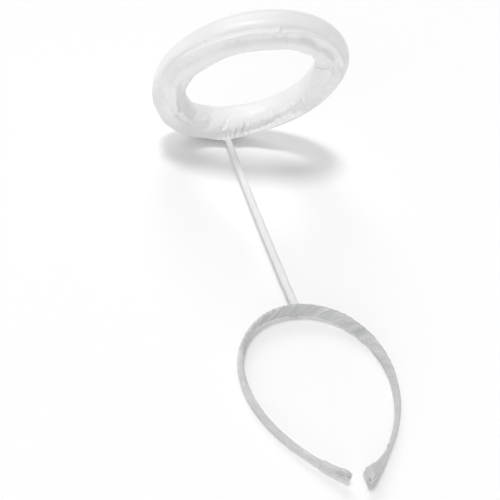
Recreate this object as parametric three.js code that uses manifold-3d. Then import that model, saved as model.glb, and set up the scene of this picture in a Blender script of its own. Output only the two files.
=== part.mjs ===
// A halo headband: a thin headband wrapped in satin ribbon, a slim satin-covered stem on its crown,
// and a padded satin halo ring on the stem. It lies on its back, as it does when it is put down.
import * as THREE from "three";
import { mergeVertices } from "three/addons/utils/BufferGeometryUtils.js";
import Module from "manifold-3d";

// Driving dimensions, in millimetres and degrees. The headband is described as it is worn: x to the
// side, y to the back of the head, z up, with the origin at the middle of the band's crown.
const bandHalfLength = 185.5;
const bandThickness = 3.4;
const bandCrownWidth = 15;
const bandSideWidth = 9;
const bandTipWidth = 5.2;
const legsForward = 17;
const legsForwardEarly = 0.63;
const bandSquareness = 0.75;
const bandTipShare = 0.6;
const ribbonPitch = 10;
const ribbonStep = 0.5;
const ribbonEndLength = 17;
const ribbonEndWall = 0.6;
const ribbonFoldShare = 0.75;
const fitGap = 0.3;

const stemLength = 213;
const stemDiameter = 5.8;
const stemLean = 8;
const stemBow = 1;
const stemFootDiameter = 9;
const stemFootHeight = 5;
const stemSeatDepth = 8;

const haloOuterDiameter = 173.5;
const haloThickness = 31;
const haloTilt = 16;
const haloRoll = -5;
const haloFlatDepth = 0.8;
const haloNeckDrop = 2.4;
const haloNeckSpread = 15;

// How sharply the band bends on its way from the crown to a tip, in radians per half length.
const BAND_BENDS = [
  { along: 0, bend: 2.7 },
  { along: 0.25, bend: 3.67 },
  { along: 0.5, bend: 2.77 },
  { along: 0.75, bend: 1.71 },
  { along: 1, bend: 0.9 },
];

// The ribbon folded round each tip: how far it reaches past the band's own end, and how wide and thick
// it has grown there. The right one is the bulkier, where the winding was finished.
const RIBBON_ENDS = [
  { name: "ribbon_end_left", side: -1, past: 2, width: 6.6, thickness: 4.6 },
  { name: "ribbon_end_right", side: 1, past: 8, width: 11, thickness: 6 },
];

// The halo's seam wanders round the padding: the turn round the ring, clockwise from the stem as seen
// from above, and the angle round the padding, from straight outwards with up counted positive.
const SEAM_PATH = [
  { turn: 0, angle: -98 },
  { turn: 45, angle: -112 },
  { turn: 91, angle: -101 },
  { turn: 118, angle: -78 },
  { turn: 130, angle: -60 },
  { turn: 148, angle: -50 },
  { turn: 165, angle: -45 },
  { turn: 193, angle: -43 },
  { turn: 225, angle: -33 },
  { turn: 250, angle: -24 },
  { turn: 283, angle: -28 },
  { turn: 320, angle: -58 },
  { turn: 360, angle: -98 },
];

// The padding's section, from the seam round to the seam again: the angle from the seam and how far the
// satin stands out there, as a share of the padding's radius.
const HALO_SECTION = [
  { fromSeam: 0, stands: 0.05 },
  { fromSeam: 9, stands: 0.01 },
  { fromSeam: 22, stands: -0.01 },
  { fromSeam: 40, stands: 0 },
  { fromSeam: 60, stands: 0 },
  { fromSeam: 80, stands: 0 },
  { fromSeam: 100, stands: 0 },
  { fromSeam: 120, stands: 0 },
  { fromSeam: 140, stands: 0 },
  { fromSeam: 160, stands: 0 },
  { fromSeam: 180, stands: 0 },
  { fromSeam: 200, stands: 0 },
  { fromSeam: 220, stands: 0 },
  { fromSeam: 240, stands: 0 },
  { fromSeam: 260, stands: 0.01 },
  { fromSeam: 280, stands: 0 },
  { fromSeam: 300, stands: 0.015 },
  { fromSeam: 320, stands: -0.01 },
  { fromSeam: 338, stands: -0.045 },
  { fromSeam: 351, stands: -0.02 },
];

// Soft folds that cross the padding: where they are, how deep they sink as a share of the padding's
// radius, how wide they are, and the angle round the padding where they are deepest.
const HALO_FOLDS = [
  { turn: 22, depth: 0.05, spread: 6, deepest: -150 },
  { turn: 42, depth: 0.04, spread: 5, deepest: -140 },
  { turn: 66, depth: 0.05, spread: 6, deepest: -150 },
  { turn: 96, depth: 0.06, spread: 6, deepest: -120 },
  { turn: 112, depth: 0.05, spread: 5, deepest: -130 },
  { turn: 142, depth: 0.04, spread: 7, deepest: -75 },
  { turn: 190, depth: 0.035, spread: 5, deepest: -50 },
  { turn: 236, depth: 0.035, spread: 6, deepest: -110 },
  { turn: 276, depth: 0.05, spread: 6, deepest: -120 },
  { turn: 298, depth: 0.06, spread: 6, deepest: -90 },
  { turn: 334, depth: 0.05, spread: 6, deepest: -80 },
];

// How finely the surfaces are divided.
const bandStations = 116;
const bandSides = 12;
const bandCurveSteps = 380;
const haloStations = 96;
const stemSides = 12;
const stemStations = 18;
const flareStations = 4;
const ribbonEndStations = 5;
const restPasses = 12;

const SATIN = { color: 0xf4f4f5, roughness: 0.38, metalness: 0 };
const RIBBON = { color: 0xd9dadc, roughness: 0.42, metalness: 0 };

const wasm = await Module();
wasm.setup();

const { degToRad, lerp, smoothstep } = THREE.MathUtils;

// A closed surface through rings of points, each ring right-handed about the way the surface runs.
// The surface either runs back into its first ring or ends in flat caps.
function closedSkin(rings, looped = false) {
  const sides = rings[0].length;
  const positions = rings.flat().flatMap((p) => [p.x, p.y, p.z]);
  const index = [];
  const joins = looped ? rings.length : rings.length - 1;
  for (let i = 0; i < joins; i++) {
    const here = i * sides;
    const there = ((i + 1) % rings.length) * sides;
    for (let j = 0; j < sides; j++) {
      const k = (j + 1) % sides;
      index.push(here + j, here + k, there + j);
      index.push(here + k, there + k, there + j);
    }
  }
  if (!looped) {
    for (const [ring, first] of [[rings[0], true], [rings.at(-1), false]]) {
      const centre = ring.reduce((sum, p) => sum.add(p), new THREE.Vector3()).divideScalar(sides);
      const hub = positions.length / 3;
      positions.push(centre.x, centre.y, centre.z);
      const start = first ? 0 : (rings.length - 1) * sides;
      for (let j = 0; j < sides; j++) {
        const k = (j + 1) % sides;
        index.push(hub, start + (first ? k : j), start + (first ? j : k));
      }
    }
  }
  const geometry = new THREE.BufferGeometry();
  geometry.setAttribute("position", new THREE.Float32BufferAttribute(positions, 3));
  geometry.setIndex(index);
  return geometry;
}

function toSolid(geometry) {
  const bare = geometry.clone();
  bare.deleteAttribute("normal");
  bare.deleteAttribute("uv");
  const merged = mergeVertices(bare);
  return new wasm.Manifold(
    new wasm.Mesh({
      numProp: 3,
      vertProperties: merged.attributes.position.array,
      triVerts: new Uint32Array(merged.index.array),
    }),
  );
}

function toGeometry(solid) {
  const mesh = solid.getMesh();
  const geometry = new THREE.BufferGeometry();
  geometry.setAttribute("position", new THREE.BufferAttribute(mesh.vertProperties, 3));
  geometry.setIndex(new THREE.BufferAttribute(mesh.triVerts, 1));
  return geometry;
}

function cut(geometry, tool) {
  return toGeometry(toSolid(geometry).subtract(toSolid(tool)));
}

function named(name, geometry, finish) {
  geometry.computeVertexNormals();
  const mesh = new THREE.Mesh(geometry, new THREE.MeshStandardMaterial(finish));
  mesh.name = name;
  return mesh;
}

// A value read from a table's rows, straight between one row and the next.
function readTable(rows, place, value, at) {
  const next = rows.findIndex((row) => row[place] >= at);
  if (next <= 0) return rows[Math.max(next, 0)][value];
  const [a, b] = [rows[next - 1], rows[next]];
  return lerp(a[value], b[value], (at - a[place]) / (b[place] - a[place]));
}

// One leg of the band's middle line, from the crown to the tip, with its slope at each point.
function legLine() {
  const step = bandHalfLength / bandCurveSteps;
  const line = [{ x: 0, z: 0, slope: 0 }];
  for (let i = 1; i <= bandCurveSteps; i++) {
    const last = line.at(-1);
    const bend = readTable(BAND_BENDS, "along", "bend", (i - 0.5) / bandCurveSteps);
    const slope = last.slope + bend / bandCurveSteps;
    const middle = (last.slope + slope) / 2;
    line.push({ x: last.x + step * Math.cos(middle), z: last.z - step * Math.sin(middle), slope });
  }
  return line;
}

const LEG = legLine();

// The band's middle line at a distance along it, counted from the crown and negative on the left:
// the point there and the way that its outer face looks.
function bandAt(distance) {
  const side = Math.sign(distance) || 1;
  const share = Math.abs(distance) / bandHalfLength;
  const place = share * bandCurveSteps;
  const i = Math.min(Math.floor(place), bandCurveSteps - 1);
  const [a, b] = [LEG[i], LEG[i + 1]];
  const slope = lerp(a.slope, b.slope, place - i);
  const forward = legsForward * share * share * lerp(legsForwardEarly, 1, share);
  return {
    point: new THREE.Vector3(side * lerp(a.x, b.x, place - i), -forward, lerp(a.z, b.z, place - i)),
    outward: new THREE.Vector3(side * Math.sin(slope), 0, Math.cos(slope)),
  };
}

function bandWidthAt(distance) {
  const halves = (2 * Math.abs(distance)) / bandHalfLength;
  return halves < 1
    ? lerp(bandCrownWidth, bandSideWidth, halves)
    : lerp(bandSideWidth, bandTipWidth, halves - 1);
}

// One section of the band or of what is wrapped round it: a flat oval of the given width and
// thickness. Facing is +1 for a surface that runs to the right along the band and -1 to the left.
function bandRing(distance, width, thickness, facing = 1, raise = () => 0) {
  const { point, outward } = bandAt(distance);
  const ring = [];
  for (let j = 0; j < bandSides; j++) {
    const turn = (facing * 2 * Math.PI * j) / bandSides;
    const flat = (value) => Math.sign(value) * Math.abs(value) ** bandSquareness;
    const lift = raise(turn);
    const across = flat(Math.cos(turn)) * (width / 2 + lift);
    const out = flat(Math.sin(turn)) * (thickness / 2 + lift);
    ring.push(point.clone().addScaledVector(outward, out).add(new THREE.Vector3(0, across, 0)));
  }
  return ring;
}

// The wrapped band. Each turn of ribbon laps over the one before it, so the surface climbs through a
// turn and drops at its edge, and the edge runs round the band as a helix.
function headband() {
  const rings = [];
  for (let i = 0; i <= bandStations; i++) {
    const distance = lerp(-bandHalfLength, bandHalfLength, i / bandStations);
    const fromTip = bandHalfLength - Math.abs(distance);
    const rounding = lerp(bandTipShare, 1, smoothstep(fromTip, 0, bandThickness));
    const wrapped = smoothstep(fromTip, ribbonEndLength, ribbonEndLength + ribbonPitch);
    const lap = (turn) => {
      const turns = distance / ribbonPitch - turn / (2 * Math.PI);
      return ribbonStep * wrapped * (turns - Math.floor(turns));
    };
    const width = bandWidthAt(distance) * rounding;
    rings.push(bandRing(distance, width, bandThickness * rounding, 1, lap));
  }
  return closedSkin(rings);
}

// The ribbon folded round a tip: a snug sleeve that widens to the tip and is folded shut there.
function ribbonEnd({ side, past, width: endWidth, thickness: endThickness }) {
  const pocketRings = [];
  const outerRings = [];
  const mouth = bandHalfLength - ribbonEndLength;
  const snugWidth = bandWidthAt(mouth) + 2 * (fitGap + ribbonEndWall);
  const snugThickness = bandThickness + 2 * (fitGap + ribbonEndWall / 2);
  const tipWidth = Math.max(endWidth, snugWidth);
  const tipThickness = Math.max(endThickness, snugThickness);
  const tip = bandHalfLength + fitGap + Math.max(past, ribbonEndWall);
  for (let i = 0; i <= ribbonEndStations; i++) {
    const distance = lerp(bandHalfLength + fitGap, mouth, i / ribbonEndStations);
    const width = bandWidthAt(distance) + 2 * fitGap;
    pocketRings.push(bandRing(side * distance, width, bandThickness + 2 * fitGap, side));
  }
  for (let i = 0; i <= ribbonEndStations; i++) {
    const share = i / ribbonEndStations;
    const distance = lerp(mouth, tip - ribbonEndWall / 2, share);
    const width = lerp(snugWidth, tipWidth, share);
    const thickness = lerp(snugThickness, tipThickness, share);
    outerRings.push(bandRing(side * distance, width, thickness, side));
  }
  const folded = [tipWidth * ribbonFoldShare, tipThickness * ribbonFoldShare];
  const closing = bandRing(side * tip, ...folded, side);
  return closedSkin([...pocketRings, ...outerRings, closing]);
}

// The stem's middle line, from its foot on the crown to its end inside the halo.
const stemFootHeightAboveBand = bandThickness / 2 + ribbonStep + fitGap;
const leanAngle = degToRad(stemLean);
const stemWay = new THREE.Vector3(0, Math.sin(leanAngle), Math.cos(leanAngle));

function stemAt(distance) {
  const share = distance / stemLength;
  const bow = stemBow * Math.sin(Math.PI * share);
  return stemWay
    .clone()
    .multiplyScalar(distance)
    .add(new THREE.Vector3(-bow, 0, stemFootHeightAboveBand));
}

// The stem's sleeve, or the hole that it goes into when it is grown by a clearance.
function stemSkin(grown = 0) {
  const radii = [];
  for (let i = 0; i <= flareStations; i++) {
    const share = i / flareStations;
    const radius = lerp(stemFootDiameter, stemDiameter, 1 - (1 - share) ** 2) / 2;
    radii.push({ distance: stemFootHeight * share, radius });
  }
  for (let i = 1; i <= stemStations; i++) {
    const distance = lerp(stemFootHeight, stemLength + stemSeatDepth + grown, i / stemStations);
    radii.push({ distance, radius: stemDiameter / 2 });
  }
  const acrossWay = new THREE.Vector3(0, stemWay.z, -stemWay.y);
  const rings = radii.map(({ distance, radius }) => {
    const centre = stemAt(distance);
    const level = smoothstep(distance, 0, stemFootHeight);
    const back = new THREE.Vector3(0, 1, 0).lerp(acrossWay, level).normalize();
    const ring = [];
    for (let j = 0; j < stemSides; j++) {
      const turn = (2 * Math.PI * j) / stemSides;
      const reach = radius + grown;
      const point = centre.clone().addScaledVector(back, reach * Math.sin(turn));
      ring.push(point.add(new THREE.Vector3(reach * Math.cos(turn), 0, 0)));
    }
    return ring;
  });
  return closedSkin(rings);
}

// The halo's own frame has the ring's centre at its origin, z up and the stem at +y.
const paddingRadius = haloThickness / 2;
const haloRadius = haloOuterDiameter / 2 - paddingRadius;

function angleBetween(a, b) {
  return Math.abs(((((a - b + 180) % 360) + 360) % 360) - 180);
}

function dip(offset, spread) {
  return Math.exp(-((offset / spread) ** 2));
}

// How far the satin lies from the middle of the padding. It is drawn down to a short neck at the stem.
function paddingAt(turn, angle, stands) {
  let share = 1 + stands;
  for (const fold of HALO_FOLDS) {
    const facing = (1 + Math.cos(degToRad(angle - fold.deepest))) / 2;
    share -= fold.depth * dip(angleBetween(turn, fold.turn), fold.spread) * facing;
  }
  const aside = degToRad(angleBetween(turn, 0)) * haloRadius;
  const round = degToRad(angleBetween(angle, -90)) * paddingRadius;
  return paddingRadius * share + haloNeckDrop * dip(Math.hypot(aside, round), haloNeckSpread);
}

function haloSkin() {
  const rings = [];
  for (let i = 0; i < haloStations; i++) {
    const turn = (360 * i) / haloStations;
    const seam = readTable(SEAM_PATH, "turn", "angle", turn);
    const outward = new THREE.Vector3(Math.sin(degToRad(turn)), Math.cos(degToRad(turn)), 0);
    rings.push(
      HALO_SECTION.map(({ fromSeam, stands }) => {
        const angle = seam + fromSeam;
        const reach = paddingAt(turn, angle, stands);
        const point = outward.clone().multiplyScalar(haloRadius + reach * Math.cos(degToRad(angle)));
        return point.setZ(reach * Math.sin(degToRad(angle)));
      }),
    );
  }
  return closedSkin(rings, true);
}

// The halo stands with the underside of its back on the stem, tilted forward and a little to the side.
function haloPlace() {
  const turned = new THREE.Matrix4()
    .makeRotationY(degToRad(haloRoll))
    .multiply(new THREE.Matrix4().makeRotationX(degToRad(haloTilt)));
  const seat = new THREE.Vector3(0, haloRadius, -paddingRadius).applyMatrix4(turned);
  return turned.setPosition(stemAt(stemLength).sub(seat));
}

const bandGeometry = headband();
const stemGeometry = stemSkin();
const haloGeometry = cut(haloSkin().applyMatrix4(haloPlace()), stemSkin(fitGap));

function pointsOf(geometry) {
  const position = geometry.getAttribute("position");
  const point = (_, i) => new THREE.Vector3().fromBufferAttribute(position, i);
  return Array.from({ length: position.count }, point);
}

// Put down on its back, the part stands on the halo's back and on both sides of the band. The padding
// gives a little there. This finds the floor through those three places.
function floorUnder() {
  const bandPoints = pointsOf(bandGeometry);
  const legs = [bandPoints.filter((p) => p.x > 0), bandPoints.filter((p) => p.x < 0)];
  const lowest = (points, up) => points.reduce((a, b) => (b.dot(up) < a.dot(up) ? b : a)).clone();
  const haloPoints = pointsOf(haloGeometry);
  let up = new THREE.Vector3(0, -1, 0);
  let halo;
  for (let i = 0; i < restPasses; i++) {
    halo = lowest(haloPoints, up).addScaledVector(up, haloFlatDepth);
    const [right, left] = legs.map((points) => lowest(points, up));
    up = right.sub(halo).cross(left.sub(halo)).normalize();
    if (up.y > 0) up.negate();
  }
  return { up, level: halo.dot(up) };
}

const floor = floorUnder();

// The part's own frame: z up from the floor, y along the part from the band to the halo.
function layDown() {
  const along = new THREE.Vector3(0, 0, 1).projectOnPlane(floor.up).normalize();
  const side = along.clone().cross(floor.up);
  const turned = new THREE.Matrix4().makeBasis(side, along, floor.up).invert();
  return new THREE.Matrix4().makeTranslation(0, 0, -floor.level).multiply(turned);
}

const laid = layDown();
const geometries = {
  headband: bandGeometry,
  stem: stemGeometry,
  halo_ring: haloGeometry,
};
for (const end of RIBBON_ENDS) geometries[end.name] = ribbonEnd(end);
for (const geometry of Object.values(geometries)) geometry.applyMatrix4(laid);

// The padding is pressed flat where it meets the floor.
const slab = new THREE.BoxGeometry(haloOuterDiameter, haloOuterDiameter, haloThickness);
slab.translate(0, stemLength, -haloThickness / 2);
geometries.halo_ring = cut(geometries.halo_ring, slab);

const bounds = new THREE.Box3();
for (const geometry of Object.values(geometries)) {
  geometry.computeBoundingBox();
  bounds.union(geometry.boundingBox);
}
const middle = bounds.getCenter(new THREE.Vector3());

const part = new THREE.Group();
part.name = "halo_headband";
for (const [name, geometry] of Object.entries(geometries)) {
  part.add(named(name, geometry, name === "halo_ring" || name === "stem" ? SATIN : RIBBON));
}
part.position.set(-middle.x, -middle.y, 0);

export default part;
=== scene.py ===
"""A halo headband as it lies on a pale floor: ribbon-wrapped band, satin-covered stem, padded satin halo."""
import math

import bpy
import numpy as np
from mathutils import Matrix, Vector


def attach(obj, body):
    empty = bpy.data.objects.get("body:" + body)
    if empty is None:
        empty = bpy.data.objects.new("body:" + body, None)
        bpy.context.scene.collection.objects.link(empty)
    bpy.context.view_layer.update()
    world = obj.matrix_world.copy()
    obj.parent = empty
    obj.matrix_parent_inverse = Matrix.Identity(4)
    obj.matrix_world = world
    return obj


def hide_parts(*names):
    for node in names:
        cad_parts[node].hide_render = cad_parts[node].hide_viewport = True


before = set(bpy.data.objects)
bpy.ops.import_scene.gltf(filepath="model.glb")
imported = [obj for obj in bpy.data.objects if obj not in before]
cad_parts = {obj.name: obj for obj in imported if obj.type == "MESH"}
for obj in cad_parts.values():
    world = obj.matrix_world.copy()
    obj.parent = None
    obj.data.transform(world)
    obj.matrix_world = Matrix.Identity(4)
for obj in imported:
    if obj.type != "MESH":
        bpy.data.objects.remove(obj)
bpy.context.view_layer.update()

MM = 0.001

# Sizes of the part in millimetres and degrees, in the frame of the worn headband: x to the side, y to
# the back of the head, z up, with the origin at the middle of the band's crown.
BAND_HALF = 185.5
BAND_THICK = 3.4
BAND_WIDTHS = {"crown": 15.0, "side": 9.0, "tip": 5.2}
LEGS_FORWARD = 17.0
LEGS_FORWARD_EARLY = 0.63
BAND_BENDS = [(0, 2.7), (0.25, 3.67), (0.5, 2.77), (0.75, 1.71), (1, 0.9)]
BAND_SQUARENESS = 0.62
STEM_LENGTH = 213.0
STEM_RADIUS = 2.9
STEM_LEAN = 8.0
STEM_BOW = 1.0
STEM_FOOT_RADIUS = 4.5
STEM_FOOT_HEIGHT = 5.0
STEM_FOOT_Z = 2.5
HALO_RADIUS = 71.25
PAD_RADIUS = 15.5
HALO_TILT = 16.0
HALO_ROLL = -5.0
SEAM_PATH = [
    (0, -98), (45, -112), (91, -101), (118, -78), (130, -60), (148, -50), (165, -45),
    (193, -43), (225, -33), (250, -24), (283, -28), (320, -58), (360, -98),
]

# How the part lies: turned onto its back, then moved so that the middle of its box is over the origin.
REST_PITCH = -82.2882
REST_SHIFT = (-0.4593, -50.7488, 9.6929)

# The camera at the photograph's viewing angle.
CAMERA_AT = (-238.7, -383.26, 400.64)
CAMERA_RIGHT = (0.93096, -0.26129, 0.25502)
CAMERA_DOWN = (-0.00168, -0.70153, -0.71264)
CAMERA_LENS = 53.95
SENSOR = 36.0

rest_turn = np.array(Matrix.Rotation(math.radians(REST_PITCH), 3, "X"))


def laid(points):
    """Points of the worn headband, in millimetres, as they lie on the floor, in metres."""
    return (np.asarray(points) @ rest_turn.T + np.array(REST_SHIFT)) * MM


def smooth(x, low, high):
    t = np.clip((x - low) / (high - low), 0, 1)
    return t * t * (3 - 2 * t)


def bell(x, centre, spread):
    return np.exp(-(((x - centre) / spread) ** 2))


def turn_gap(a, b):
    """The signed angle from b to a in degrees, between -180 and 180."""
    return (a - b + 180) % 360 - 180


def table(rows, at):
    xs, ys = zip(*rows)
    return np.interp(at, xs, ys)


def wave(at, seed, period, octaves=3, loop=None):
    """Smooth noise along a line: sums of sines with seeded phases, closed after loop if it is given."""
    rng = np.random.default_rng(seed)
    total = np.zeros_like(at, dtype=float)
    for octave in range(octaves):
        for _ in range(5):
            length = period / 2**octave * rng.uniform(0.7, 1.45)
            count = round(loop / length) if loop else 1 / length
            rate = count / loop if loop else count
            total += np.sin(2 * np.pi * (at * rate + rng.uniform())) / 2**octave * 0.35
    return total


def field(u, v, seed, period_u, period_v, loop_u=None, loop_v=None, count=26):
    """Smooth noise over a surface, with its own mean length along each way."""
    rng = np.random.default_rng(seed)
    total = np.zeros(np.broadcast(u, v).shape)
    for _ in range(count):
        length_u = period_u * rng.uniform(0.6, 1.8)
        length_v = period_v * rng.uniform(0.6, 1.8)
        rate_u = (round(loop_u / length_u) / loop_u) if loop_u else 1 / length_u
        rate_v = (round(loop_v / length_v) / loop_v) if loop_v else 1 / length_v
        way = rng.choice([-1, 1])
        total += np.sin(2 * np.pi * (u * rate_u + way * v * rate_v + rng.uniform()))
    return total / math.sqrt(count)


def skin(name, points, uv, loop_u=False, loop_v=False, material=None):
    """A mesh through a grid of points [u, v], closed along u or v where it says so."""
    rows, cols = points.shape[:2]
    u_index = np.arange(rows if loop_u else rows - 1)
    v_index = np.arange(cols if loop_v else cols - 1)
    a, b = np.meshgrid(u_index, v_index, indexing="ij")
    a_next, b_next = (a + 1) % rows, (b + 1) % cols
    corners = np.stack([a * cols + b, a_next * cols + b, a_next * cols + b_next, a * cols + b_next], -1)
    faces = corners.reshape(-1, 4)
    mesh = bpy.data.meshes.new(name)
    mesh.vertices.add(rows * cols)
    mesh.vertices.foreach_set("co", points.reshape(-1).astype(np.float32))
    mesh.loops.add(faces.size)
    mesh.loops.foreach_set("vertex_index", faces.reshape(-1).astype(np.int32))
    mesh.polygons.add(len(faces))
    mesh.polygons.foreach_set("loop_start", np.arange(0, faces.size, 4, dtype=np.int32))
    mesh.polygons.foreach_set("loop_total", np.full(len(faces), 4, dtype=np.int32))
    mesh.update(calc_edges=True)
    layer = mesh.uv_layers.new(name="UVMap")
    step_u = uv[1]
    lift = np.stack([a, a + 1, a + 1, a], -1).reshape(-1), np.stack([b, b, b + 1, b + 1], -1).reshape(-1)
    coords = np.stack([lift[0] * uv[0], lift[1] * step_u], -1)
    layer.data.foreach_set("uv", coords.reshape(-1).astype(np.float32))
    mesh.polygons.foreach_set("use_smooth", np.ones(len(faces), dtype=bool))
    mesh.validate()
    piece = bpy.data.objects.new(name, mesh)
    bpy.context.scene.collection.objects.link(piece)
    if material:
        mesh.materials.append(material)
    return piece


def close_ends(piece, cols):
    """Caps the two open ends of a tube whose sections have cols points."""
    mesh = piece.data
    import bmesh
    bm = bmesh.new()
    bm.from_mesh(mesh)
    bmesh.ops.holes_fill(bm, edges=[e for e in bm.edges if e.is_boundary], sides=cols + 2)
    for face in bm.faces:
        face.smooth = True
    bm.to_mesh(mesh)
    bm.free()


def outward_faces(piece):
    import bmesh
    bm = bmesh.new()
    bm.from_mesh(piece.data)
    bmesh.ops.recalc_face_normals(bm, faces=bm.faces)
    bm.to_mesh(piece.data)
    bm.free()


# Materials: satin with a fine weave, soft streaks along the threads, a sheen and a tone that wanders at random; the
# band's ribbon has painted sheen patches in place of the random tone.
# The shift sets where the painted sheen patches fall along the ribbon.
PAINTED_SHEEN_SHIFT = 19.0


def satin(name, colour, shade, roughness, thread, relief, sheen, streak, painted_sheen=None):
    material = bpy.data.materials.new(name)
    material.use_nodes = True
    nodes, links = material.node_tree.nodes, material.node_tree.links
    shader = nodes["Principled BSDF"]
    shader.inputs["Sheen Weight"].default_value = sheen
    shader.inputs["Sheen Roughness"].default_value = 0.35
    shader.inputs["Specular IOR Level"].default_value = 0.7
    shader.inputs["Anisotropic"].default_value = 0.45
    shader.inputs["Subsurface Weight"].default_value = 0.06
    shader.inputs["Subsurface Radius"].default_value = (0.004, 0.004, 0.004)
    place = nodes.new("ShaderNodeTexCoord")

    def noise(scale, detail, stretch, source="UV", shift=0):
        mapping = nodes.new("ShaderNodeMapping")
        mapping.inputs["Location"].default_value = (shift, shift, 0)
        mapping.inputs["Scale"].default_value = stretch
        links.new(place.outputs[source], mapping.inputs["Vector"])
        made = nodes.new("ShaderNodeTexNoise")
        made.inputs["Scale"].default_value = scale
        made.inputs["Detail"].default_value = detail
        links.new(mapping.outputs["Vector"], made.inputs["Vector"])
        return made.outputs["Fac"]

    def remap(value, low, high, out_low, out_high):
        node = nodes.new("ShaderNodeMapRange")
        for key, number in zip(("From Min", "From Max", "To Min", "To Max"), (low, high, out_low, out_high)):
            node.inputs[key].default_value = number
        links.new(value, node.inputs["Value"])
        return node.outputs["Result"]

    broad = remap(noise(28, 3, (1, 1, 1), "Object"), 0.3, 0.6, 0, 1)
    # Painted sheen: lighter and darker patches along the wound strip stand in for the satin's sheen changing from lap
    # to lap, at full strength at the crown and weaker, towards an even tone, down the legs.
    if painted_sheen:
        across = nodes.new("ShaderNodeSeparateXYZ")
        links.new(place.outputs["Object"], across.inputs["Vector"])
        painted_sheen_mix = nodes.new("ShaderNodeMix")
        links.new(remap(across.outputs["Y"], -0.13, -0.08, 0.3, 1), painted_sheen_mix.inputs["Factor"])
        painted_sheen_mix.inputs["A"].default_value = 0.6
        links.new(remap(noise(1, 2, painted_sheen, shift=PAINTED_SHEEN_SHIFT), 0.36, 0.62, 0, 1), painted_sheen_mix.inputs["B"])
        broad = painted_sheen_mix.outputs["Result"]
    streaks = noise(1, 2, streak)
    colour_mix = nodes.new("ShaderNodeMix")
    colour_mix.data_type = "RGBA"
    colour_mix.inputs["A"].default_value = (*shade, 1)
    colour_mix.inputs["B"].default_value = (*colour, 1)
    links.new(broad, colour_mix.inputs["Factor"])
    links.new(colour_mix.outputs["Result"], shader.inputs["Base Color"])
    links.new(remap(streaks, 0.25, 0.75, roughness - 0.02, roughness + 0.03), shader.inputs["Roughness"])

    waves = []
    for direction, scale in (("X", 1 / thread), ("Y", 0.45 / thread)):
        node = nodes.new("ShaderNodeTexWave")
        node.bands_direction = direction
        node.inputs["Scale"].default_value = scale * 0.1
        node.inputs["Distortion"].default_value = 0.6
        node.inputs["Detail Scale"].default_value = 2
        links.new(place.outputs["UV"], node.inputs["Vector"])
        waves.append(node.outputs["Fac"])
    weave = nodes.new("ShaderNodeMath")
    weave.operation = "MULTIPLY"
    links.new(waves[0], weave.inputs[0])
    links.new(waves[1], weave.inputs[1])
    bump = nodes.new("ShaderNodeBump")
    bump.inputs["Strength"].default_value = relief
    bump.inputs["Distance"].default_value = 0.00008
    links.new(weave.outputs[0], bump.inputs["Height"])
    crease = nodes.new("ShaderNodeBump")
    crease.inputs["Strength"].default_value = 0.35
    crease.inputs["Distance"].default_value = 0.0004
    links.new(noise(260, 4, (1, 1, 1), "Object"), crease.inputs["Height"])
    links.new(bump.outputs["Normal"], crease.inputs["Normal"])
    links.new(crease.outputs["Normal"], shader.inputs["Normal"])
    return material


halo_satin = satin("halo_satin", (0.84, 0.84, 0.844), (0.805, 0.805, 0.811), 0.38, 0.00022, 0.5, 0.35, (40, 400, 1))
stem_satin = satin("stem_satin", (0.81, 0.81, 0.815), (0.77, 0.77, 0.777), 0.33, 0.00022, 0.5, 0.3, (400, 40, 1))
# The ribbon's two tones are the lighter and darker ends of its painted sheen.
band_ribbon = satin(
    "band_ribbon", (0.63, 0.633, 0.64), (0.49, 0.493, 0.502), 0.3, 0.00025, 0.6, 0.12, (40, 500, 1), (45, 230, 1)
)

# The halo: a satin tube, simulated as cloth that is a little too long for the inside of the ring.
TUBE_TURNS = 320
TUBE_ROUND = 72
TUBE_FINER = 2
TUBE_START = 0.97
CLOTH_SCALE = 5.0
CLOTH_FRAMES = 20
CLOTH_GROW_BY = 10
CLOTH_JOLT = 0.12
CLOTH_SLACK = 0.28
CLOTH_PRESSURE = 28
CREASE_EVEN = 1.2
CALM = [{"turn": -120, "spread": 60, "even": 8}, {"turn": -24, "spread": 13, "even": 4}]
HOLE_EDGE = {"angle": 178, "spread": 38, "even": 22}
REACH_LEAST = 11.0
REACH_MOST = 17.2
RIDGE = {"height": 1.5, "spread": 4.0}
SHOULDER = {"offset": 13, "depth": 0.8, "spread": 7}
HOLLOW = {"offset": -19, "depth": 2.1, "spread": 12}
PUCKERS = {"period": 5.0, "depth": 0.3}
TAUT = {"turn": -100, "spread": 56, "ridge": 1.5, "shoulder": 2.3, "hollow": 0.5, "puckers": 0.8}
GATHERS = {"period": 3.4, "depth": 0.6, "reach": 15}
NECK_DROP = 2.4
NECK_SPREAD = 15.0
RIM = HALO_RADIUS * 2 * math.pi

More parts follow.
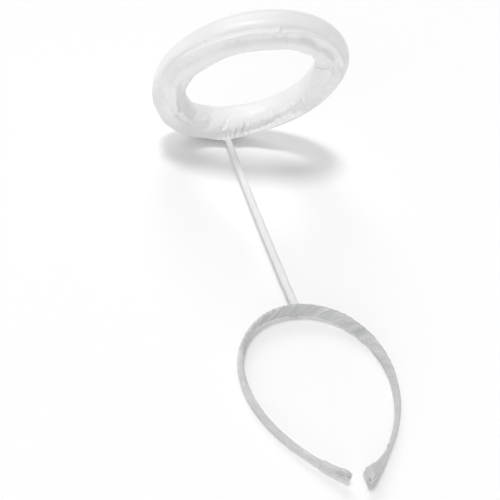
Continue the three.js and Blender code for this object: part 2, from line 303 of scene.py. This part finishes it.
# Folds of the satin: the line that each one follows, as turn and angle, its half width in millimetres
# and how far it stands (or sinks, where negative).
FOLDS = [
    ([(-96, -80), (-83, -98), (-73, -105), (-63, -105)], 1.8, 1.0),
    ([(-107, -64), (-90, -69)], 2.6, 0.4),
    ([(-98, -52), (-84, -66), (-74, -72)], 3.0, -1.0),
    ([(-101, -94), (-77, -137), (-66, -124)], 2.4, -0.45),
    ([(-60, -122), (-46, -124), (-37, -133), (-27, -149)], 1.7, 0.55),
    ([(-60, -98), (-38, -107), (-25, -112)], 2.5, -1.0),
    ([(14, -115), (25, -119), (38, -130), (43, -140), (53, -140), (62, -143), (72, -149)], 1.1, -0.7),
    ([(108, -107), (98, -108), (88, -105)], 1.6, 0.9),
    ([(127, -80), (117, -77), (107, -76)], 1.3, 1.0),
    ([(129, -93), (116, -94)], 1.5, -0.8),
    ([(121, -61), (108, -57)], 1.6, -0.6),
    ([(127, -160), (109, -173), (98, -157)], 1.4, 0.7),
    ([(147, -60), (137, -61), (127, -59)], 1.3, 0.8),
    ([(171, -56), (165, -64), (156, -77), (149, -75), (138, -73)], 3.0, -1.3),
    ([(133, -97), (151, -99)], 2.0, -0.6),
    ([(-165, -53), (-169, -46), (-171, -39), (-173, -26)], 1.0, 0.35),
    ([(-171, -54), (-175, -38)], 1.2, -0.6),
    ([(-174, -35), (176, -30), (167, -35), (154, -31)], 1.5, -0.5),
    ([(-170, -50), (-170, -62)], 0.7, -0.5),
    ([(-177, -50), (-178, -76)], 0.7, -0.5),
    ([(-150, -44), (-149, -58)], 0.7, -0.5),
    ([(-143, -40), (-144, -54)], 0.6, -0.4),
    ([(-132, -16), (-134, -34)], 0.6, -0.4),
    ([(-124, -18), (-125, -30)], 0.6, -0.4),
    ([(-111, -16), (-110, -28)], 0.6, -0.4),
    ([(-8, -112), (-9, -134)], 0.6, -0.9),
    ([(-4, -108), (-5, -130)], 0.6, 0.6),
    ([(-2, -110), (-1, -134)], 0.5, -0.8),
    ([(1, -104), (1, -122)], 0.5, -0.8),
    ([(3, -104), (3, -128)], 0.5, 0.6),
    ([(5, -108), (6, -134)], 0.6, -0.8),
    ([(9, -112), (11, -142)], 0.7, 0.7),
    ([(12, -120), (14, -146)], 0.7, -0.8),
    ([(17, -130), (19, -162)], 0.8, 0.6),
]


def stem_at(distance):
    lean = math.radians(STEM_LEAN)
    bow = STEM_BOW * np.sin(np.pi * distance / STEM_LENGTH)
    return np.stack(
        [-bow, distance * math.sin(lean) + 0 * bow, distance * math.cos(lean) + STEM_FOOT_Z + 0 * bow], -1
    )


def halo_place():
    turned = Matrix.Rotation(math.radians(HALO_ROLL), 3, "Y") @ Matrix.Rotation(math.radians(HALO_TILT), 3, "X")
    seat = turned @ Vector((0, HALO_RADIUS, -PAD_RADIUS))
    return np.array(turned), np.array(Vector(stem_at(STEM_LENGTH)) - seat)


def ring_points(turn, angle, reach):
    a, t = np.radians(angle), np.radians(turn)
    from_axis = HALO_RADIUS + reach * np.cos(a)
    return np.stack([from_axis * np.sin(t), from_axis * np.cos(t), reach * np.sin(a)], -1)


def ring_place(points):
    """The turn and the angle in degrees, and the reach, of points near the ring."""
    x, y, z = np.moveaxis(points, -1, 0)
    outward = np.hypot(x, y) - HALO_RADIUS
    return np.degrees(np.arctan2(x, y)), np.degrees(np.arctan2(z, outward)), np.hypot(outward, z)


def tube_pattern(turn, angle, off):
    """The tube's own cut: each point where the flat lengths of the satin put it, so the springs are at rest."""
    outside = HALO_RADIUS + PAD_RADIUS
    plain = HALO_RADIUS + PAD_RADIUS * TUBE_START * np.cos(np.radians(angle))
    lower = bell(turn_gap(angle, -130), 0, 75)
    slack = CLOTH_SLACK * (0.78 + 0.22 * np.cos(np.radians(turn))) * lower
    slack *= smooth(180 - np.abs(180 - off), 2, 14)
    from_axis = plain + (outside - plain) * slack
    step = 2 * math.pi * PAD_RADIUS * 0.99 / TUBE_ROUND
    across = np.diff(np.concatenate([from_axis, from_axis[:, :1]], 1), axis=1)
    rise = np.sqrt(np.clip(step**2 - across**2, (0.2 * step) ** 2, None))
    so_far = rise.cumsum(1)
    rise = np.where(so_far < so_far[:, -1:] / 2, rise, -rise)
    rise -= rise.mean(1, keepdims=True)
    height = np.concatenate([np.zeros_like(rise[:, :1]), rise.cumsum(1)[:, :-1]], 1)
    height += PAD_RADIUS * TUBE_START * np.sin(np.radians(angle[:, :1]))
    t = np.radians(turn)
    return np.stack([from_axis * np.sin(t), from_axis * np.cos(t), height], -1)


def swell(start, pattern):
    """Blows the tube up as cloth, held along its seam, and returns its points."""
    scale = CLOTH_SCALE * MM
    uv = (1, 1)
    cloth_piece = skin("tube", start * scale, uv, True, True)
    outward_faces(cloth_piece)
    cloth_piece.shape_key_add(name="start")
    grown = cloth_piece.shape_key_add(name="pattern")
    grown.data.foreach_set("co", (pattern * scale).reshape(-1).astype(np.float32))
    for value, at in ((0, 1), (1, CLOTH_GROW_BY)):
        grown.value = value
        grown.keyframe_insert("value", frame=at)
    pin = cloth_piece.vertex_groups.new(name="pin")
    pin.add([i * TUBE_ROUND for i in range(TUBE_TURNS)], 1.0, "REPLACE")
    cloth = cloth_piece.modifiers.new("cloth", "CLOTH")
    settings = cloth.settings
    settings.quality = 5
    settings.mass = 0.02
    settings.tension_stiffness = 20
    settings.compression_stiffness = 20
    settings.shear_stiffness = 8
    settings.bending_stiffness = 0.5
    settings.tension_damping = 1
    settings.compression_damping = 1
    settings.shear_damping = 1
    settings.use_pressure = True
    settings.uniform_pressure_force = CLOTH_PRESSURE
    settings.vertex_group_mass = "pin"
    settings.use_dynamic_mesh = True
    settings.effector_weights.gravity = 0
    cloth.collision_settings.use_collision = False
    cloth.point_cache.frame_start = 1
    cloth.point_cache.frame_end = CLOTH_FRAMES
    for at in range(1, CLOTH_FRAMES + 1):
        bpy.context.scene.frame_set(at)
    swollen = cloth_piece.evaluated_get(bpy.context.evaluated_depsgraph_get()).data
    found = np.zeros(len(swollen.vertices) * 3, np.float32)
    swollen.vertices.foreach_get("co", found)
    bpy.data.objects.remove(cloth_piece)
    bpy.context.scene.frame_set(1)
    return found.reshape(start.shape).astype(float) / scale


def softer(values, axis, steps):
    """Values evened out along one way of a closed grid, over a number of steps each side."""
    taps = np.arange(-3 * math.ceil(steps), 3 * math.ceil(steps) + 1)
    weights = bell(taps, 0, steps * math.sqrt(2))
    return sum(w * np.roll(values, by, axis) for w, by in zip(weights / weights.sum(), taps))


def finer(points, axis):
    """Twice as many points along one way of a closed grid, on a smooth curve through the old ones."""
    def near(by):
        return np.roll(points, -by, axis)

    between = (9 * (points + near(1)) - near(-1) - near(2)) / 16
    shape = list(points.shape)
    shape[axis] *= 2
    return np.stack([points, between], axis + 1).reshape(shape)


def halo_relief(turn, angle, off):
    """How far the satin stands or sinks, in millimetres, at a turn, an angle and a way round from the seam."""
    off = turn_gap(off, 0)
    along = turn % 360 / 360 * RIM
    sway = 1 + 0.3 * wave(along, 3, 60, 2, RIM)
    taut = bell(turn_gap(turn, TAUT["turn"]), 0, TAUT["spread"])
    relief = RIDGE["height"] * (1 + TAUT["ridge"] * taut) * sway * bell(off, 0, RIDGE["spread"])
    shoulder = SHOULDER["depth"] * (1 + TAUT["shoulder"] * taut)
    relief = relief - shoulder * sway * bell(off, SHOULDER["offset"], SHOULDER["spread"])
    hollow = HOLLOW["depth"] * (1 + TAUT["hollow"] * taut)
    relief = relief - hollow * sway * bell(off, HOLLOW["offset"], HOLLOW["spread"])
    for line, half_width, height in FOLDS:
        nearest = np.full(turn.shape, 1e3)
        for (turn_a, angle_a), (turn_b, angle_b) in zip(line, line[1:]):
            across = np.radians(HALO_RADIUS + PAD_RADIUS * math.cos(math.radians((angle_a + angle_b) / 2)))
            x, y = turn_gap(turn, turn_a) * across, turn_gap(angle, angle_a) * np.radians(PAD_RADIUS)
            run, rise = turn_gap(turn_b, turn_a) * across, turn_gap(angle_b, angle_a) * np.radians(PAD_RADIUS)
            share = np.clip((x * run + y * rise) / (run**2 + rise**2), 0, 1)
            nearest = np.minimum(nearest, np.hypot(x - share * run, y - share * rise))
        relief += 2.0 * height * bell(nearest, 0, half_width)
    ripple = wave(along + 0.12 * turn_gap(angle, -155), 12, 4.2, 1, RIM)
    relief += 0.45 * ripple * bell(turn_gap(angle, -158), 0, 20) * bell(turn_gap(turn, 48), 0, 42)
    fine = wave(along + 0.05 * off, 11, PUCKERS["period"], 2, RIM)
    relief += PUCKERS["depth"] * (1 - TAUT["puckers"] * taut) * fine * bell(off, -14, 22)
    near = bell(turn_gap(turn, 0), 0, GATHERS["reach"])
    tight = wave(along, 31, GATHERS["period"], 1, RIM)
    relief += GATHERS["depth"] * tight * near * bell(turn_gap(angle, -102), 0, 24)
    aside = np.radians(np.abs(turn_gap(turn, 0))) * HALO_RADIUS
    round_it = np.radians(np.abs(turn_gap(angle, -90))) * PAD_RADIUS
    return relief + NECK_DROP * bell(np.hypot(aside, round_it), 0, NECK_SPREAD)


def make_halo():
    turn = (np.arange(TUBE_TURNS) * 360 / TUBE_TURNS)[:, None] + np.zeros((1, TUBE_ROUND))
    off = (np.arange(TUBE_ROUND) * 360 / TUBE_ROUND)[None, :] + np.zeros((TUBE_TURNS, 1))
    angle = table(SEAM_PATH, turn) + off
    jolt = np.random.default_rng(5).normal(size=turn.shape) * CLOTH_JOLT
    jolt[:, 0] = 0
    start = ring_points(turn, angle, PAD_RADIUS * TUBE_START + jolt)
    points = swell(start, tube_pattern(turn, angle, off))
    points = finer(finer(points, 0), 1)
    turn, angle, reach = ring_place(points)
    reach = np.where(reach < PAD_RADIUS, PAD_RADIUS - (PAD_RADIUS - REACH_LEAST) * np.tanh(
        (PAD_RADIUS - reach) / (PAD_RADIUS - REACH_LEAST)), reach)
    reach = np.where(reach > PAD_RADIUS, PAD_RADIUS + (REACH_MOST - PAD_RADIUS) * np.tanh(
        (reach - PAD_RADIUS) / (REACH_MOST - PAD_RADIUS)), reach)
    reach = softer(softer(reach, 0, CREASE_EVEN), 1, CREASE_EVEN)
    for calm in CALM:
        share = bell(turn_gap(turn, calm["turn"]), 0, calm["spread"])
        reach += (softer(softer(reach, 0, calm["even"]), 1, calm["even"]) - reach) * share
    edge = 0.8 * bell(turn_gap(angle, HOLE_EDGE["angle"]), 0, HOLE_EDGE["spread"])
    reach += (softer(reach, 0, HOLE_EDGE["even"]) - reach) * edge
    round_now = TUBE_ROUND * TUBE_FINER
    off = (np.arange(round_now) * 360 / round_now)[None, :]
    points = ring_points(turn, angle, reach + halo_relief(turn, angle, off))
    turned, moved = halo_place()
    points = laid(points @ turned.T + moved)
    floor_gap = 0.0
    points[..., 2] = np.maximum(points[..., 2], floor_gap)
    uv = (RIM * MM / (TUBE_TURNS * TUBE_FINER), 2 * math.pi * PAD_RADIUS * MM / round_now)
    return skin("halo_padding", points, uv, True, True, halo_satin)


# The band's middle line.
BAND_STEPS = 1500
steps = (np.arange(BAND_STEPS) + 0.5) / BAND_STEPS
slopes = np.concatenate([[0], np.cumsum(table(BAND_BENDS, steps) / BAND_STEPS)])
mid_slopes = (slopes[1:] + slopes[:-1]) / 2
leg_x = np.concatenate([[0], np.cumsum(np.cos(mid_slopes))]) * BAND_HALF / BAND_STEPS
leg_z = np.concatenate([[0], np.cumsum(-np.sin(mid_slopes))]) * BAND_HALF / BAND_STEPS


def band_at(distance):
    """Points on the band's middle line and the way that its outer face looks there."""
    side = np.where(distance < 0, -1, 1)
    share = np.abs(distance) / BAND_HALF
    place = share * BAND_STEPS
    x, z, slope = (np.interp(place, np.arange(BAND_STEPS + 1), row) for row in (leg_x, leg_z, slopes))
    past = np.maximum(np.abs(distance) - BAND_HALF, 0)
    x, z = x + past * np.cos(slope), z - past * np.sin(slope)
    forward = LEGS_FORWARD * share**2 * (LEGS_FORWARD_EARLY + (1 - LEGS_FORWARD_EARLY) * share)
    point = np.stack([side * x, -forward, z], -1)
    outward = np.stack([side * np.sin(slope), 0 * slope, np.cos(slope)], -1)
    return point, outward


def band_width(distance):
    halves = 2 * np.abs(distance) / BAND_HALF
    widths = BAND_WIDTHS
    return np.interp(halves, [0, 1, 2], [widths["crown"], widths["side"], widths["tip"]])


def band_point(distance, turn, lift, width=None, thick=BAND_THICK):
    """A point on what is wrapped round the band, lifted off its surface by lift."""
    point, outward = band_at(distance)
    width = band_width(distance) if width is None else width
    c, s = np.cos(turn), np.sin(turn)
    across = np.sign(c) * np.abs(c) ** BAND_SQUARENESS * (width / 2 + lift)
    out = np.sign(s) * np.abs(s) ** BAND_SQUARENESS * (thick / 2 + lift)
    back = np.array([0.0, 1.0, 0.0])
    return point + outward * out[..., None] + back * across[..., None]


# The ribbon is one strip wound round the band from tip to tip; LAPS is where each lap crosses the inner face.
LAPS = [
    -180, -168, -154, -141, -127, -114, -100, -87, -74, -61, -49, -38, -27, -16, -6, 5, 19.5, 36.5, 51, 61, 81, 97, 112,
    127, 141, 152, 160, 170, 180, 190,
]
LAP_PLACE = 0.25
RIBBON_STRETCH = 13.0
RIBBON_LAP = 0.3
RIBBON_RISE = 0.3
RIBBON_CLOTH = 0.2
RIBBON_TRIM = 0.9
RIBBON_SLANT = 1.6
RIBBON_ROUND = 70
RIBBON_ACROSS = 24


def make_ribbon():
    turns = len(LAPS) - 3
    t = (np.arange(turns * RIBBON_ROUND + 1) / RIBBON_ROUND)[:, None]
    q = np.linspace(-RIBBON_LAP, 1, RIBBON_ACROSS)[None, :]
    wobble = 0.05 * wave(t[:, 0], 41, 2.6, 2)[:, None] * smooth(q, 0.2, 1)
    place = np.interp(t + q + wobble, np.arange(len(LAPS)) + LAP_PLACE, LAPS)
    turn = -2 * np.pi * t + 0 * q
    crown = bell(place, 0, 95)
    where = np.clip(place - RIBBON_SLANT * np.cos(turn) * crown, -BAND_HALF + 4, BAND_HALF - 4)
    bold = 1.1 * bell(where, 44, 42) + 0.4 * bell(where, -20, 50) + 0.6 * bell(where, 163, 12)
    bold = np.clip(bold * (1 + 0.25 * wave(t[:, 0], 45, 3.1, 1)[:, None]), 0.04, 1.2)
    inside = 0.15 + 0.85 * smooth(-np.sin(turn), 0.05, 0.6)
    rise = smooth(q, 0.05, 1) * RIBBON_RISE * (0.15 + 0.85 * bold * inside)
    belly = 0.5 * bold * inside * bell(q, 0.62, 0.3)
    curl = 0.3 * smooth(q, 0.88, 1) * bold * inside
    creases = field(q * RIBBON_STRETCH, t * 37, 51, 3.0, 34)
    crease = (0.03 + 0.26 * crown) * np.tanh(1.5 * creases) * smooth(q, -0.1, 0.25)
    pull = 0.1 * field(where, turn * 2.5, 52, 40, 2.6, None, 5 * np.pi)
    lift = rise + belly + curl + crease + pull
    width = band_width(where) - RIBBON_TRIM
    thick = BAND_THICK - RIBBON_TRIM
    cloth = RIBBON_CLOTH * (0.3 + 0.7 * np.clip(bold, 0, 1))
    top = band_point(where, turn, lift + cloth, width, thick)
    bottom = band_point(where, turn, lift, width, thick)
    loop = np.concatenate([top, bottom[:, ::-1]], 1)
    uv = (2 * (BAND_WIDTHS["side"] + BAND_THICK) * MM / RIBBON_ROUND, RIBBON_STRETCH * MM / RIBBON_ACROSS)
    return skin("band_wrapping", laid(loop), uv, False, True, band_ribbon)


# The stem's sleeve.
STEM_ALONG = 420
STEM_ROUND = 40


def make_stem():
    distance = np.concatenate([
        np.linspace(0, 9, 50), np.linspace(9, STEM_LENGTH - 12, STEM_ALONG)[1:],
        np.linspace(STEM_LENGTH - 12, STEM_LENGTH + 6, 60)[1:],
    ])[:, None]
    turn = (2 * np.pi * np.arange(STEM_ROUND) / STEM_ROUND)[None, :]
    flare = (1 - np.clip(distance / STEM_FOOT_HEIGHT, 0, 1)) ** 2
    radius = STEM_RADIUS + (STEM_FOOT_RADIUS - STEM_RADIUS) * flare
    radius = radius + 0.22 * bell(turn_gap(np.degrees(turn), 205), 0, 13)
    radius = radius - 0.14 * bell(turn_gap(np.degrees(turn), 232), 0, 14)
    radius = radius + 0.10 * field(distance, turn * STEM_RADIUS, 61, 26, 7, None, 2 * np.pi * STEM_RADIUS)
    pleats = np.cos(turn * 9 + 0.6 * np.sin(turn * 2)) * 0.3
    radius = radius + pleats * (flare + smooth(distance, STEM_LENGTH - 9, STEM_LENGTH - 1))
    radius = radius + 1.2 * smooth(distance, STEM_LENGTH - 5, STEM_LENGTH + 1)
    lean = math.radians(STEM_LEAN)
    level = smooth(distance, 0, STEM_FOOT_HEIGHT)[..., None]
    back = np.array([0, 1.0, 0]) * (1 - level) + np.array([0, math.cos(lean), -math.sin(lean)]) * level
    centre = stem_at(distance)
    side = np.array([1.0, 0, 0])
    points = centre + radius[..., None] * (np.cos(turn)[..., None] * side + np.sin(turn)[..., None] * back)
    uv = (STEM_LENGTH * MM / len(distance), 2 * math.pi * STEM_RADIUS * MM / STEM_ROUND)
    piece = skin("stem_sleeve", laid(points), uv, False, True, stem_satin)
    close_ends(piece, STEM_ROUND)
    return piece


# The ribbon's folded ends: layers that start one after the other, each standing out further on the inner
# side, fine gathers along the end, and a tip that is pinched and tucked in.
ENDS = {
    "left": {
        "side": -1, "past": 2.5, "width": 6.4, "thick": 3.8, "seed": 71, "stand": 200, "cut": -0.4,
        "layers": [(0.04, 0.1), (0.6, 0.5)], "pinch": (0.95, 0.8),
    },
    "right": {
        "side": 1, "past": 9.5, "width": 7.2, "thick": 4.6, "seed": 72, "stand": 285, "cut": -1.8,
        "layers": [(0.04, 0.6), (0.32, 1.1), (0.56, 1.8), (0.74, 1.2)], "pinch": (0.45, 0.35),
    },
}
END_LENGTH = 17.0
END_ALONG = 190
END_ROUND = 150
END_ROUNDING = 0.16
TUCK_SHARE = 0.12
TUCK_DEPTH = 1.5
GATHER_WIDTH = 1.7


def make_end(name, side, past, width, thick, seed, stand, cut, layers, pinch):
    mouth, tip = BAND_HALF - END_LENGTH, BAND_HALF + past
    share = np.linspace(0, 1 + TUCK_SHARE, END_ALONG)[:, None]
    turn = (2 * np.pi * np.arange(END_ROUND) / END_ROUND)[None, :]
    tucked = np.clip((share - 1) / TUCK_SHARE, 0, 1)
    slanted = cut * np.cos(turn - math.radians(stand)) * smooth(share, 0.5, 1)
    distance = mouth + (tip - mouth) * np.minimum(share, 1) - TUCK_DEPTH * tucked + slanted
    grown = smooth(share, 0, 1)
    snug = band_width(np.array(mouth)) + 0.5
    wide = snug + (max(width, snug) - snug) * grown
    deep = BAND_THICK + 0.7 + (thick - BAND_THICK - 0.7) * grown
    rounding = np.sqrt(1 - np.clip((share - 1 + END_ROUNDING) / END_ROUNDING, 0, 1) ** 2 * 0.999)
    wide = wide * (pinch[0] + (1 - pinch[0]) * rounding) * (1 - 0.45 * tucked)
    deep = deep * (pinch[1] + (1 - pinch[1]) * rounding) * (1 - 0.85 * tucked)
    out_here = smooth(np.cos(turn - math.radians(stand)), -0.5, 0.9)
    ragged = 0.03 * np.sin(3 * turn + 5 * seed)
    stairs = sum(
        height * smooth(share + ragged, at, at + 0.015) * (1 - 0.25 * smooth(share, at + 0.1, at + 0.35))
        for at, height in layers
    )
    stairs = stairs * (0.15 + 0.85 * out_here) * (1 - smooth(share, 0.82, 1.0))
    gathers = 0.3 * field(turn * 4 + share * 3, share * 12, seed, GATHER_WIDTH, 11, 8 * np.pi)
    gathers = gathers * (0.3 + 0.7 * smooth(share, 0.15, 0.7)) * (1 - 0.5 * tucked)
    points = band_point(side * distance, turn, stairs + gathers, wide, deep)
    uv = ((tip - mouth) * MM / END_ALONG, 2 * (width + thick) * MM / END_ROUND)
    piece = skin(f"ribbon_fold_{name}", laid(points), uv, False, True, band_ribbon)
    close_ends(piece, END_ROUND)
    return piece


halo = make_halo()
ribbon = make_ribbon()
stem = make_stem()
folds = {name: make_end(name, **values) for name, values in ENDS.items()}

for piece, node, slot in (
    (halo, "halo_ring", "halo_satin"),
    (ribbon, "headband", "band_ribbon"),
    (stem, "stem", "stem_satin"),
    (folds["left"], "ribbon_end_left", "band_ribbon"),
    (folds["right"], "ribbon_end_right", "band_ribbon"),
):
    outward_faces(piece)
    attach(piece, "root")
    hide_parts(node)

# The floor.
FLOOR_HALF = 4.0
floor_points = np.array([[[x, y, -0.0002] for y in (-FLOOR_HALF, FLOOR_HALF)] for x in (-FLOOR_HALF, FLOOR_HALF)])
paper = bpy.data.materials.new("floor_paper")
paper.use_nodes = True
paper.node_tree.nodes["Principled BSDF"].inputs["Base Color"].default_value = (0.99, 0.99, 0.99, 1)
paper.node_tree.nodes["Principled BSDF"].inputs["Roughness"].default_value = 0.9
floor = skin("floor", floor_points, (1, 1), False, False, paper)


# Light: a weak key from behind, a narrow light nearly overhead, a broad one from the left front, and a soft
# surround that is brightest at the height of the horizon.
def sun(name, direction, strength, spread):
    light = bpy.data.lights.new(name, "SUN")
    light.energy = strength
    light.angle = math.radians(spread)
    lamp = bpy.data.objects.new(name, light)
    lamp.rotation_mode = "QUATERNION"
    lamp.rotation_quaternion = Vector(direction).to_track_quat("Z", "Y")
    bpy.context.scene.collection.objects.link(lamp)


sun("key", (-0.1, 0.7, 0.7), 0.53, 34)
sun("top", (-0.32, -0.05, 1.0), 1.15, 12)
sun("side", (-0.55, -0.85, 0.25), 0.5, 40)
SURROUND = (0.49, 0.49)
HORIZON = {"glow": 0.5, "whole": 0.07, "none": 0.2}
world = bpy.data.worlds.new("studio")
world.use_nodes = True
surround = world.node_tree
direction = surround.nodes.new("ShaderNodeTexCoord")
parts = surround.nodes.new("ShaderNodeSeparateXYZ")
surround.links.new(direction.outputs["Generated"], parts.inputs["Vector"])
fade = surround.nodes.new("ShaderNodeMapRange")
for key, number in zip(("From Min", "From Max", "To Min", "To Max"), (-1, 0.5, *SURROUND)):
    fade.inputs[key].default_value = number
surround.links.new(parts.outputs["Y"], fade.inputs["Value"])
height = surround.nodes.new("ShaderNodeMath")
height.operation = "ABSOLUTE"
surround.links.new(parts.outputs["Z"], height.inputs[0])
glow = surround.nodes.new("ShaderNodeMapRange")
glow_range = (HORIZON["whole"], HORIZON["none"], HORIZON["glow"], 0)
for key, number in zip(("From Min", "From Max", "To Min", "To Max"), glow_range):
    glow.inputs[key].default_value = number
surround.links.new(height.outputs[0], glow.inputs["Value"])
level = surround.nodes.new("ShaderNodeMath")
surround.links.new(fade.outputs["Result"], level.inputs[0])
surround.links.new(glow.outputs["Result"], level.inputs[1])
surround.links.new(level.outputs[0], surround.nodes["Background"].inputs["Strength"])
surround.nodes["Background"].inputs["Color"].default_value = (1, 1, 1, 1)
bpy.context.scene.world = world
bpy.context.scene.view_settings.view_transform = "Standard"

# The camera.
lens = bpy.data.cameras.new("camera")
lens.lens = CAMERA_LENS
lens.sensor_width = SENSOR
lens.clip_start = 0.01
lens.clip_end = 50
camera = bpy.data.objects.new("camera", lens)
right = Vector(CAMERA_RIGHT).normalized()
up = -Vector(CAMERA_DOWN)
back = right.cross(up).normalized()
up = back.cross(right)
camera.matrix_world = Matrix((
    (right.x, up.x, back.x, CAMERA_AT[0] * MM),
    (right.y, up.y, back.y, CAMERA_AT[1] * MM),
    (right.z, up.z, back.z, CAMERA_AT[2] * MM),
    (0, 0, 0, 1),
))
bpy.context.scene.collection.objects.link(camera)
bpy.context.scene.camera = camera
